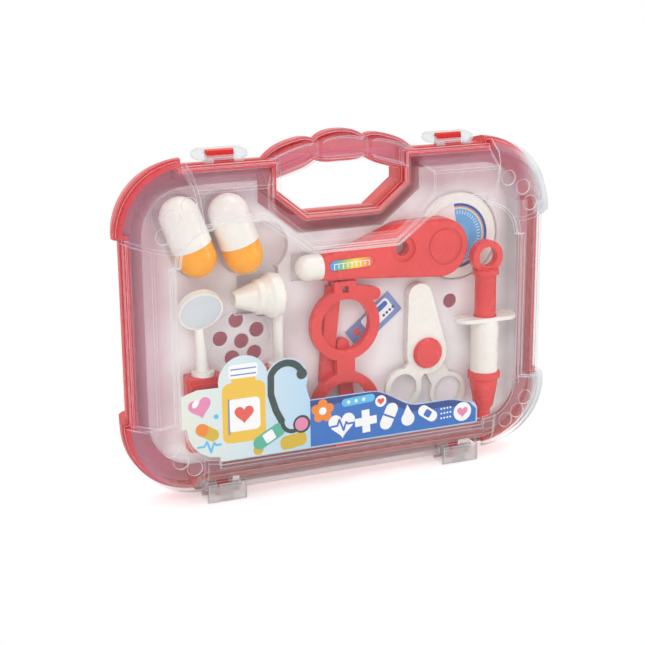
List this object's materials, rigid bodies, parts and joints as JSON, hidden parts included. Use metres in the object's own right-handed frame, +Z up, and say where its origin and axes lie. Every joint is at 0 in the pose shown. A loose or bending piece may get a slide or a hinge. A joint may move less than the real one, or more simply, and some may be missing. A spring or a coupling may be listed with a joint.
{
  "type": "toy doctor case",
  "caption": "Carrying case with a red back shell, a clear hinged lid with snap latches and a handle, holding toy medical instruments in a tray.",
  "frame": {"origin": "centre of the footprint at the height of the feet: X across the middle of the case, Y at the middle of its depth, Z at the bottom of the feet", "axes": "+X to the right seen from the clear front, -Y out of the clear front, +Z up to the handle"},
  "size_m": [0.2794, 0.047, 0.219],
  "materials": {
    "red_shell": "glossy red moulding",
    "red": "glossy coral red moulding",
    "white": "glossy white moulding",
    "orange": "glossy orange moulding",
    "clear": "clear moulded plastic",
    "tray": "clear formed sheet",
    "mirror": "silvered disc",
    "scale_print": "printed scale strip",
    "dial_print": "printed blue dial",
    "card_print": "printed card",
    "label_print": "printed label sheet"
  },
  "bodies": {
    "back_case": {"back_shell": "red_shell", "tray": "tray", "capsule_left_body": "orange", "capsule_left_cap": "white", "capsule_right_body": "orange", "capsule_right_cap": "white", "mirror_frame": "white", "mirror_face": "mirror", "mirror_grip": "red", "scope_head": "white", "scope_grip": "red", "thermometer_body": "red", "thermometer_tip": "white", "thermometer_scale": "scale_print", "gauge_body": "white", "gauge_dial": "dial_print", "glasses_frame": "red", "temple_upper": "red", "temple_lower": "red", "scissors_back": "white", "scissors_rivet": "red", "syringe_barrel": "white", "syringe_cap": "red", "picture_card": "card_print"},
    "lid": {"lid_shell": "clear", "label": "label_print"},
    "latch_left": {"latch_left": "clear"},
    "latch_right": {"latch_right": "clear"},
    "plunger": {"syringe_plunger": "red"},
    "scissors_blade": {"scissors_front": "white"}
  },
  "joints": [
    {"name": "lid_hinge", "type": "hinge", "parent": "back_case", "child": "lid", "pos_m": [0, 0.0025, 0.004], "axis": [1, 0, 0], "range_deg": [0, 180]},
    {"name": "latch_left_hinge", "type": "hinge", "parent": "lid", "child": "latch_left", "pos_m": [-0.074, -0.0035, 0.2062], "axis": [1, 0, 0], "range_deg": [0, 100]},
    {"name": "latch_right_hinge", "type": "hinge", "parent": "lid", "child": "latch_right", "pos_m": [0.074, -0.0035, 0.2062], "axis": [1, 0, 0], "range_deg": [0, 100]},
    {"name": "plunger_slide", "type": "slide", "parent": "back_case", "child": "plunger", "axis": [0, 0, -1], "range_m": [0, 0.024]},
    {"name": "scissors_pivot", "type": "hinge", "parent": "back_case", "child": "scissors_blade", "pos_m": [0.0558, -0.0046, 0.076], "axis": [0, 1, 0], "range_deg": [0, 15]}
  ]
}
